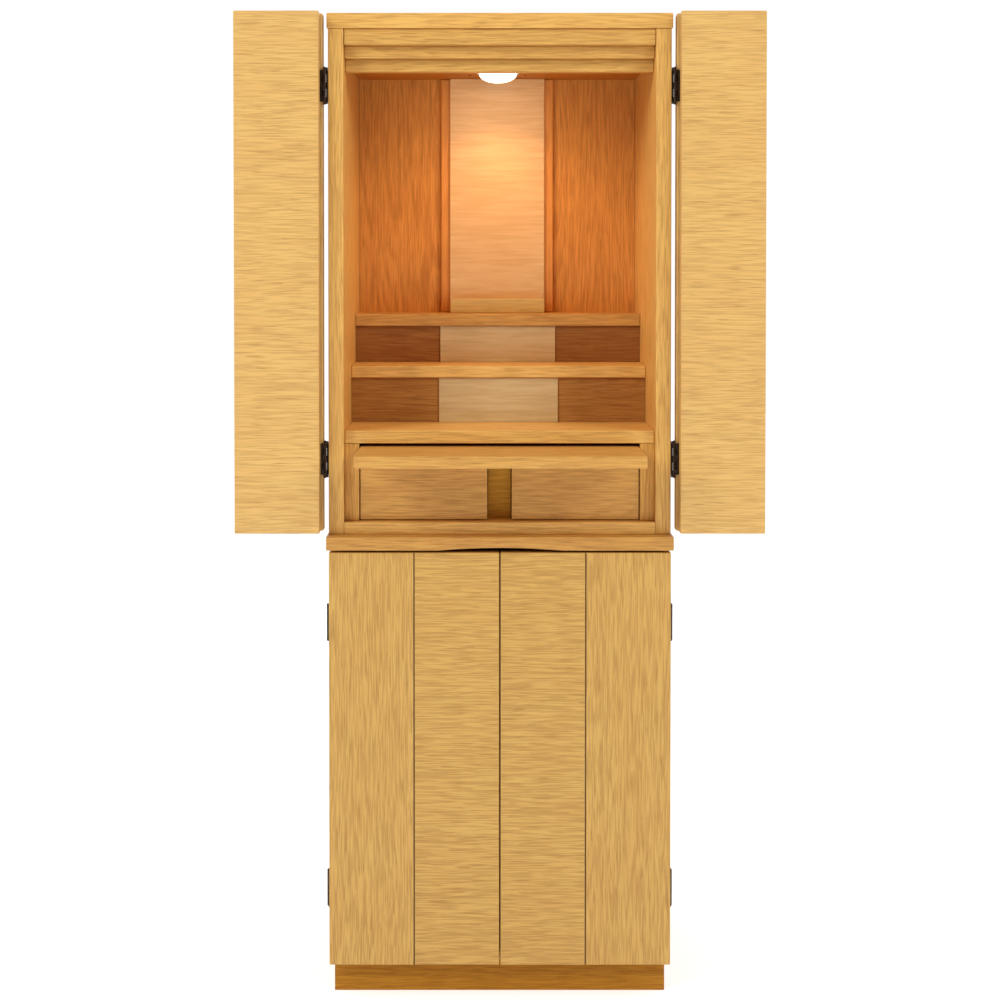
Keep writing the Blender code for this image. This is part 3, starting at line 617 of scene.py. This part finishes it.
def screw(head_radius, turned_to):
    """A domed head on its side, looking along turned_to, with a cross cut into it."""
    rise = head_radius * 0.22
    head = turned([(0, -0.0004), (head_radius, -0.0004), (head_radius, rise * 0.35),
                   (head_radius * 0.80, rise * 0.80), (head_radius * 0.4, rise), (0, rise)], 20)
    blank = bpy.data.objects.new("head", bpy.data.meshes.new("head"))
    head.to_mesh(blank.data)
    head.free()
    bpy.context.scene.collection.objects.link(blank)
    cutters = []
    for long_side in (0, 1):
        cross = bmesh.new()
        bmesh.ops.create_cube(cross, size=1.0)
        size = [head_radius * 0.22, head_radius * 0.22, head_radius * 0.5]
        size[long_side] = head_radius * 1.15
        bmesh.ops.scale(cross, verts=cross.verts[:], vec=size)
        moved(cross, (0, 0, rise))
        cutter = bpy.data.objects.new("cross", bpy.data.meshes.new("cross"))
        cross.to_mesh(cutter.data)
        cross.free()
        bpy.context.scene.collection.objects.link(cutter)
        cut = blank.modifiers.new("cross", "BOOLEAN")
        cut.object = cutter
        cut.solver = "EXACT"
        cutters.append(cutter)
    made = bpy.data.meshes.new_from_object(
        blank.evaluated_get(bpy.context.evaluated_depsgraph_get()))
    for spent in (blank, *cutters):
        bpy.data.objects.remove(spent)
    result = bmesh.new()
    result.from_mesh(made)
    bpy.data.meshes.remove(made)
    turn = Vector((0, 0, 1)).rotation_difference(Vector(turned_to)).to_matrix()
    bmesh.ops.transform(result, matrix=turn.to_4x4(), verts=result.verts[:])
    return result


LAMP_SCREW_SPREAD = 0.046
LAMP_SCREW_SETBACK = 0.048
lamp_screws = [moved(screw(0.0022, (0, 0, -1)), (side * LAMP_SCREW_SPREAD,
                                                lamp_centre.y + LAMP_SCREW_SETBACK,
                                                base_high.z)) for side in (-1, 1)]
fitted("lamp_screws", finished_mesh("lamp_screws", lamp_screws, BRONZE), "cabinet")

# Cabinet hinges
# Pressed steel butt hinges, coated dark bronze: a flap with three knuckles screwed to the outside
# of the carcass side, a flap with two between them on the moving leaf, and a pin with round tips.

HINGE_PIN_RADIUS = 0.0011
KNUCKLE_RADIUS = 0.0020
KNUCKLE_PITCH = 0.0110
KNUCKLE_GAP = 0.00015
HINGE_PLATE = 0.0016
HINGE_PLATE_HEIGHT = 0.047
PLATE_SEAT = 0.0002
PLATE_EASING = 0.0005
SCREW_PITCH = 0.0155
SCREW_HEAD = 0.0026


def knuckles(count, pin, first_z, pitch=KNUCKLE_PITCH):
    """Every second knuckle of a hinge, as one shape round the pin."""
    length = pitch - 2 * KNUCKLE_GAP
    chamfer = KNUCKLE_RADIUS * 0.12
    one = turned([(HINGE_PIN_RADIUS, 0), (KNUCKLE_RADIUS - chamfer, 0), (KNUCKLE_RADIUS, chamfer),
                  (KNUCKLE_RADIUS, length - chamfer), (KNUCKLE_RADIUS - chamfer, length),
                  (HINGE_PIN_RADIUS, length), (HINGE_PIN_RADIUS, 0)], 20)
    bmesh.ops.remove_doubles(one, verts=one.verts[:], dist=1e-7)
    bmesh.ops.recalc_face_normals(one, faces=one.faces[:])
    return row_of(one, count, 2 * pitch, BRONZE, (pin[0], pin[1], first_z + KNUCKLE_GAP))


def tabs(count, low, high, first_z, pitch=KNUCKLE_PITCH):
    """The strips of plate that run from a flap to its own knuckles."""
    length = pitch - 2 * KNUCKLE_GAP
    one = eased_board((low[0], low[1], 0), (high[0], high[1], length), 0.0002, "Z", "tab")
    return row_of(one, count, 2 * pitch, BRONZE, (0, 0, first_z + KNUCKLE_GAP))


def hinge_pin(pin, z_low, z_high):
    tip = HINGE_PIN_RADIUS
    rivet = KNUCKLE_RADIUS * 0.85
    profile = [(0, z_low), (rivet * 0.6, z_low + 0.0001), (rivet, z_low + 0.0006),
               (rivet, z_low + 0.0010), (tip, z_low + 0.0010), (tip, z_high - 0.0010),
               (rivet, z_high - 0.0010), (rivet, z_high - 0.0006),
               (rivet * 0.6, z_high - 0.0001), (0, z_high)]
    return moved(turned(profile, 16), (pin[0], pin[1], 0))


def across(side, near, far):
    """The x range from near to far on one side of the cabinet, in rising order."""
    return sorted((side * near, side * far))


joint_place = {joint["name"]: Vector(joint.get("pos_m", (0, 0, 0))) for joint in frame["joints"]}
SIDES = (("left", -1), ("right", 1))
FIXED_PLATE_LEAD = 0.0004
FIXED_TAB_REACH = 0.0014
FIXED_SCREW_SETBACK = 0.001
for case, joint, side_node in (("upper", "{}_leaf_swing", "upper_side_{}"),
                               ("cupboard", "cupboard_{}_swing", "lower_side_{}")):
    for word, side in SIDES:
        pin = joint_place[joint.format(word)]
        face = abs(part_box(side_node.format(word))[side > 0].x)
        for level in ("low", "high"):
            node = f"{case}_hinge_{word}_{level}"
            low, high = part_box(node)
            middle = (low.z + high.z) / 2
            start = middle - 2.5 * KNUCKLE_PITCH
            thick = abs(pin.x) - KNUCKLE_RADIUS - PLATE_SEAT - face - PLATE_SEAT
            x0, x1 = across(side, face + PLATE_SEAT, face + PLATE_SEAT + thick)
            plate = eased_board((x0, pin.y - FIXED_PLATE_LEAD, middle - HINGE_PLATE_HEIGHT / 2),
                                (x1, high.y, middle + HINGE_PLATE_HEIGHT / 2), PLATE_EASING, "Z",
                                "flap")
            reach = across(side, face + PLATE_SEAT, abs(pin.x) - HINGE_PIN_RADIUS)
            bridge = tabs(3, (reach[0], pin.y - FIXED_PLATE_LEAD),
                          (reach[1], pin.y + FIXED_TAB_REACH), start)
            heads = row_of(screw(SCREW_HEAD, (side, 0, 0)), 3, SCREW_PITCH, BRONZE,
                           (side * (face + PLATE_SEAT + thick),
                            (pin.y + high.y) / 2 + FIXED_SCREW_SETBACK, middle - SCREW_PITCH))
            shapes = [plate, bridge, heads, knuckles(3, pin, start), hinge_pin(pin, low.z, high.z)]
            fitted(f"{node}_flap", finished_mesh(node, shapes, BRONZE), "cabinet",
                   [node])

# Moving hinge flaps
# The other half of each hinge: laid on the outer face of a folding leaf, where it shows as a
# near-black strip beside the knuckles, and on the outer edge of a cupboard door.

for word, side in SIDES:
    pin = joint_place[f"{word}_leaf_swing"]
    for level in ("low", "high"):
        node = f"{word}_leaf_flap_{level}"
        low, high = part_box(node)
        middle = (low.z + high.z) / 2
        start = middle - 1.5 * KNUCKLE_PITCH
        reach = across(side, abs(pin.x) + HINGE_PIN_RADIUS, min(abs(low.x), abs(high.x)) + 0.002)
        shapes = [eased_board(low, high, PLATE_EASING, "Z", "flap"),
                  tabs(2, (reach[0], low.y), (reach[1], high.y), start), knuckles(2, pin, start)]
        fitted(f"{node}_plate", finished_mesh(node, shapes, BRONZE), f"{word}_outer",
               [node])

DOOR_FLAP_DEPTH = 0.0145
DOOR_TAB_LAP = 0.001
DOOR_TAB_GAP = 0.0005
for word, side in SIDES:
    pin = joint_place[f"cupboard_{word}_swing"]
    door_low, door_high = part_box(f"cupboard_door_{word}")
    edge = abs(door_high.x if side > 0 else door_low.x)
    door_flaps = []
    for level in ("low", "high"):
        low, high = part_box(f"cupboard_hinge_{word}_{level}")
        middle = (low.z + high.z) / 2
        start = middle - 1.5 * KNUCKLE_PITCH
        x0, x1 = across(side, edge + PLATE_SEAT, edge + PLATE_SEAT + HINGE_PLATE)
        flap_low = (x0, door_high.y - DOOR_FLAP_DEPTH, middle - HINGE_PLATE_HEIGHT / 2)
        flap_high = (x1, door_high.y, middle + HINGE_PLATE_HEIGHT / 2)
        door_flaps.append(eased_board(flap_low, flap_high, PLATE_EASING, "Z", "flap"))
        reach = across(side, edge + PLATE_SEAT, abs(pin.x) - HINGE_PIN_RADIUS)
        door_flaps.append(tabs(2, (reach[0], door_high.y - DOOR_TAB_LAP),
                               (reach[1], pin.y - DOOR_TAB_GAP), start))
        door_flaps.append(knuckles(2, pin, start))
        door_flaps.append(row_of(screw(SCREW_HEAD, (side, 0, 0)), 3, SCREW_PITCH, BRONZE,
                                 (side * (edge + PLATE_SEAT + HINGE_PLATE),
                                  door_high.y - DOOR_FLAP_DEPTH * 0.55, middle - SCREW_PITCH)))
    fitted(f"cupboard_door_flaps_{word}", finished_mesh("door_flaps", door_flaps, BRONZE),
           f"cupboard_{word}")

# Folding leaves
# Each side has two flush leaves. The outer one hangs on the cabinet and has upright grain; the
# inner one folds onto it and has its grain across. All edges are lipped and well rounded.

# A lighter copy of the doors' oak: painted light, for the stronger light on the upper leaves.
LEAF_OAK_PAINTED_LIGHT = veneered("leaf_oak", (0.750, 0.470, 0.146), (0.485, 0.259, 0.068),
                    (0.730, 0.407, 0.124), rings=0.08, fibre=0.70, pores=0.38)
LEAF_EASING = {"outer": 0.0024, "inner": 0.0013}


def leaf_grain(face_grain):
    """Face veneer in its own direction, and upright lippings on the edges."""
    return lambda face: face_grain if abs(face.normal.y) > 0.7 else "Z"


for word, _ in SIDES:
    for leaf, slot, grain in (("outer", "oak_upright", "Z"), ("inner", "oak_crosswise", "X")):
        node = f"{word}_{leaf}_leaf"
        low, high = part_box(node)
        shape = eased_board(low, high, LEAF_EASING[leaf], leaf_grain(grain), node)
        fitted(f"{node}_board", finished_mesh(node, [shape], LEAF_OAK_PAINTED_LIGHT), f"{word}_{leaf}",
               [node])

# Fold hinges
# A long continuous hinge joins the two leaves of a side along their far edges, out of sight when
# they stand open: two thin flaps with alternate short knuckles on one long pin.

FOLD_PITCH = 0.0125
FOLD_PIN_TIP = 0.001
FOLD_PLATE_EASING = 0.0004
FOLD_PLATE_GAP = 0.0003
FOLD_TAB_LAP = 0.002
for word, side in SIDES:
    pin = joint_place[f"{word}_leaf_fold"]
    outer_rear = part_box(f"{word}_fold_hinge_outer")[1].y
    inner_low, inner_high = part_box(f"{word}_fold_hinge_inner")
    row_height = inner_high.z - inner_low.z
    pairs = int(row_height / FOLD_PITCH / 2)
    start = (inner_low.z + inner_high.z) / 2 - (pairs * 2 + 1) * FOLD_PITCH / 2
    far = abs(pin.x) - HINGE_PIN_RADIUS
    for half, count, first, y0, y1, body in (
            ("outer", pairs + 1, 0, outer_rear - HINGE_PLATE, outer_rear, f"{word}_outer"),
            ("inner", pairs, 1, inner_low.y, inner_high.y, f"{word}_inner")):
        node_low, node_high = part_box(f"{word}_fold_hinge_{half}")
        near = min(abs(node_low.x), abs(node_high.x))
        x0, x1 = across(side, near, abs(pin.x) - KNUCKLE_RADIUS - FOLD_PLATE_GAP)
        plate = eased_board((x0, y0, node_low.z), (x1, y1, node_high.z), FOLD_PLATE_EASING, "Z",
                            "flap")
        reach = across(side, abs(pin.x) - KNUCKLE_RADIUS - FOLD_TAB_LAP, far)
        first_z = start + first * FOLD_PITCH
        shapes = [plate, tabs(count, (reach[0], y0), (reach[1], y1), first_z, FOLD_PITCH),
                  knuckles(count, pin, first_z, FOLD_PITCH)]
        if half == "outer":
            pin_end = start + (pairs * 2 + 1) * FOLD_PITCH + FOLD_PIN_TIP
            shapes.append(hinge_pin(pin, start - FOLD_PIN_TIP, pin_end))
        fitted(f"{word}_fold_hinge_{half}_half", finished_mesh("fold", shapes, BRONZE), body,
               [f"{word}_fold_hinge_{half}"])

# Offering board
# A plain oak board with its grain across, for setting out offerings. It slides in a slot under
# the altar floor, and its long edges are rounded over.

board("offering_board", "offering", SHELF_OAK, "X", radius=0.0018)

# Drawers
# Two drawers side by side: an oak-veneered front and a box of thin pale boards, glued at the
# corners round a floor panel. They have no handles; a recess between them takes the fingers.

PALE_BOX_WOOD = veneered("drawer_box_wood", (0.74, 0.56, 0.34), (0.58, 0.40, 0.22),
                         (0.72, 0.50, 0.29), rings=0.20, fibre=0.30, pores=0.20, coat=0.0)
DRAWER_WALL = 0.009
DRAWER_FLOOR = 0.005
for word, _ in SIDES:
    board(f"{word}_drawer_front", f"{word}_drawer", SHELF_OAK, "X", radius=0.0010)
    low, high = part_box(f"{word}_drawer_box")
    walls = []
    for along, x0, x1, y0, y1, z0, z1 in (
            ("Y", low.x, low.x + DRAWER_WALL, low.y, high.y, low.z, high.z),
            ("Y", high.x - DRAWER_WALL, high.x, low.y, high.y, low.z, high.z),
            ("X", low.x + DRAWER_WALL, high.x - DRAWER_WALL, low.y, low.y + DRAWER_WALL, low.z,
             high.z),
            ("X", low.x + DRAWER_WALL, high.x - DRAWER_WALL, high.y - DRAWER_WALL, high.y, low.z,
             high.z),
            ("X", low.x + DRAWER_WALL, high.x - DRAWER_WALL, low.y + DRAWER_WALL,
             high.y - DRAWER_WALL, low.z, low.z + DRAWER_FLOOR)):
        walls.append(eased_board((x0, y0, z0), (x1, y1, z1), 0.0006, along, f"{word} {x0} {y0}"))
    fitted(f"{word}_drawer_boards", finished_mesh("drawer_boards", walls, PALE_BOX_WOOD),
           f"{word}_drawer", [f"{word}_drawer_box"])

# Cupboard doors
# Two flush doors, each veneered in two halves that meet at a fine groove: the outer half with
# upright grain, the inner half with its grain across. Edges are lipped in upright oak.

GROOVE_WIDTH = 0.0020
GROOVE_DEPTH = 0.0020
GROOVE_ARRIS = 0.0004
DOOR_EASING = 0.0013
# A darker copy of the leaves' oak: painted shade, for the weaker light on the doors low down.
DOOR_OAK_PAINTED_SHADE = veneered("door_oak", (0.645, 0.386, 0.093), (0.418, 0.213, 0.044),
                    (0.626, 0.332, 0.078), rings=0.08, fibre=0.88, pores=0.45)
# Dark brown for the groove: a dark joint line together with painted shade in the recess.
GROOVE_STAIN_AND_SHADE = veneered("groove_stain_and_shade", (0.25, 0.140, 0.030), (0.15, 0.080, 0.016),
                        (0.12, 0.045, 0.010), rings=0.1, fibre=0.4, pores=0.3, coat=0.0)


def door_outline(low, high, groove_x):
    """The door in plan, anticlockwise from its front left corner."""
    r = DOOR_EASING
    half = GROOVE_WIDTH / 2
    outline = quarter((low.x + r, low.y + r), r, 180)
    outline += [(groove_x - half - GROOVE_ARRIS, low.y), (groove_x - half, low.y + GROOVE_ARRIS),
                (groove_x - half, low.y + GROOVE_DEPTH), (groove_x + half, low.y + GROOVE_DEPTH),
                (groove_x + half, low.y + GROOVE_ARRIS), (groove_x + half + GROOVE_ARRIS, low.y)]
    outline += quarter((high.x - r, low.y + r), r, 270)
    outline += quarter((high.x - r, high.y - r), r, 0)
    outline += quarter((low.x + r, high.y - r), r, 90)
    return outline


def door_ring(outline, low, high, z, share):
    """The outline at z, with its rounding drawn in to a share of itself."""
    ring = []
    for x, y in outline:
        core_x = min(max(x, low.x + DOOR_EASING), high.x - DOOR_EASING)
        core_y = min(max(y, low.y + DOOR_EASING), high.y - DOOR_EASING)
        ring.append((core_x + (x - core_x) * share, core_y + (y - core_y) * share, z))
    return ring


for word, side in SIDES:
    node = f"cupboard_door_{word}"
    low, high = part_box(node)
    groove_x = (low.x + high.x) / 2
    outline = door_outline(low, high, groove_x)
    ends = [(DOOR_EASING * (1 - math.cos(turn)), math.sin(turn)) for turn in
            [math.radians(angle) for angle in (0, 30, 60, 90)]]
    rings = [door_ring(outline, low, high, low.z + rise, max(share, 0.02)) for rise, share in ends]
    rings += [door_ring(outline, low, high, high.z - rise, max(share, 0.02))
              for rise, share in reversed(ends)]
    shape = skinned(rings)
    shape.normal_update()

    def door_grain(face, groove_x=groove_x, side=side):
        inner_half = (face.calc_center_median().x - groove_x) * side < 0
        return "X" if face.normal.y < -0.5 and inner_half else "Z"

    lay_grain(shape, node, door_grain)
    mesh = finished_mesh(node, [shape], DOOR_OAK_PAINTED_SHADE)
    mesh.materials.append(GROOVE_STAIN_AND_SHADE)
    # The groove's walls and floor take the dark joint colour and painted shade.
    for face in mesh.polygons:
        centre = sum((mesh.vertices[v].co for v in face.vertices), Vector()) / len(face.vertices)
        in_width = abs(centre.x - groove_x) < GROOVE_WIDTH / 2 + 1e-5
        if in_width and centre.y < low.y + GROOVE_DEPTH + 1e-5:
            face.material_index = 1 if centre.y > low.y + GROOVE_ARRIS else 0
    fitted(f"{node}_panel", mesh, f"cupboard_{word}", [node])

# Studio
# A plain white floor and a white surround that is dimmer in front, and a large soft light to either
# side. In the niche are the lamp's warm light and a faint one for what the ceiling throws back.

floor_mesh = bpy.data.meshes.new("studio_floor")
floor_shape = bmesh.new()
bmesh.ops.create_grid(floor_shape, x_segments=1, y_segments=1, size=9.0)
floor_shape.to_mesh(floor_mesh)
floor_shape.free()
floor = bpy.data.objects.new("studio_floor", floor_mesh)
floor_paint = bpy.data.materials.new("floor_paint")
floor_paint.use_nodes = True
floor_shader = floor_paint.node_tree.nodes["Principled BSDF"]
floor_shader.inputs["Base Color"].default_value = (0.9, 0.9, 0.9, 1)
floor_shader.inputs["Roughness"].default_value = 0.9
floor_shader.inputs["Emission Color"].default_value = (1, 1, 1, 1)
floor_shader.inputs["Emission Strength"].default_value = 0.36
floor_mesh.materials.append(floor_paint)
bpy.context.scene.collection.objects.link(floor)

world = bpy.data.worlds.new("white_surround")
bpy.context.scene.world = world
world.use_nodes = True
surround = world.node_tree
facing = add_node(surround, "ShaderNodeSeparateXYZ",
                  {"Vector": add_node(surround, "ShaderNodeTexCoord").outputs["Generated"]})
brightness = math_node(surround, "ADD", 0.10, math_node(
    surround, "MULTIPLY", between(surround, facing.outputs["Y"], -0.88, 0.17), 0.92))
surround.nodes["Background"].inputs["Color"].default_value = (1.0, 1.0, 1.0, 1.0)
surround.links.new(brightness, surround.nodes["Background"].inputs["Strength"])


def soft_light(name, place, aim, size, power, colour=(1.0, 1.0, 1.0), spread=180):
    data = bpy.data.lights.new(name, "AREA")
    data.shape = "SQUARE"
    data.size = size
    data.energy = power
    data.color = colour
    data.spread = math.radians(spread)
    light = bpy.data.objects.new(name, data)
    light.location = place
    light.rotation_euler = (Vector(aim) - Vector(place)).to_track_quat("-Z", "Y").to_euler()
    light.visible_camera = False
    bpy.context.scene.collection.objects.link(light)


CABINET_MIDDLE = (0, -0.2, 1.0)
PANEL_FOOT = (0, 0.15, 1.10)
SOFTBOX = 1.6
soft_light("key", (-2.6, -2.2, 2.7), CABINET_MIDDLE, SOFTBOX, 72)
soft_light("fill", (2.6, -2.2, 2.6), CABINET_MIDDLE, SOFTBOX, 57)
soft_light("ceiling_bounce", (0, -0.11, lens_low.z - 0.045), PANEL_FOOT, size=0.18, power=0.24,
           colour=(1.0, 0.60, 0.33), spread=115)

glow_light = bpy.data.lights.new("lamp_light", "SPOT")
glow_light.shadow_soft_size = 0.008
glow_light.spot_size = math.radians(142)
glow_light.spot_blend = 1.0
glow_light.energy = 1.12
glow_light.color = (1.0, 0.52, 0.25)
lamp_light = bpy.data.objects.new("lamp_light", glow_light)
lamp_light.location = (lamp_centre.x, lamp_centre.y, lens_low.z - 0.022)
lamp_light.visible_camera = False
bpy.context.scene.collection.objects.link(lamp_light)

# Camera
# A long lens at chest height, looking very slightly down, a little left of the middle.

TILT_DOWN = 0.0194
camera_data = bpy.data.cameras.new("camera")
camera_data.sensor_width = 36.0
camera_data.lens = 56.82
camera_data.shift_x = 0.0229
camera_data.shift_y = -0.2052
camera = bpy.data.objects.new("camera", camera_data)
camera.location = (-0.0341, -2.541, 1.1022)
camera.rotation_euler = (math.radians(90) - TILT_DOWN, 0, 0)
bpy.context.scene.collection.objects.link(camera)
bpy.context.scene.camera = camera
bpy.context.scene.view_settings.view_transform = "Standard"
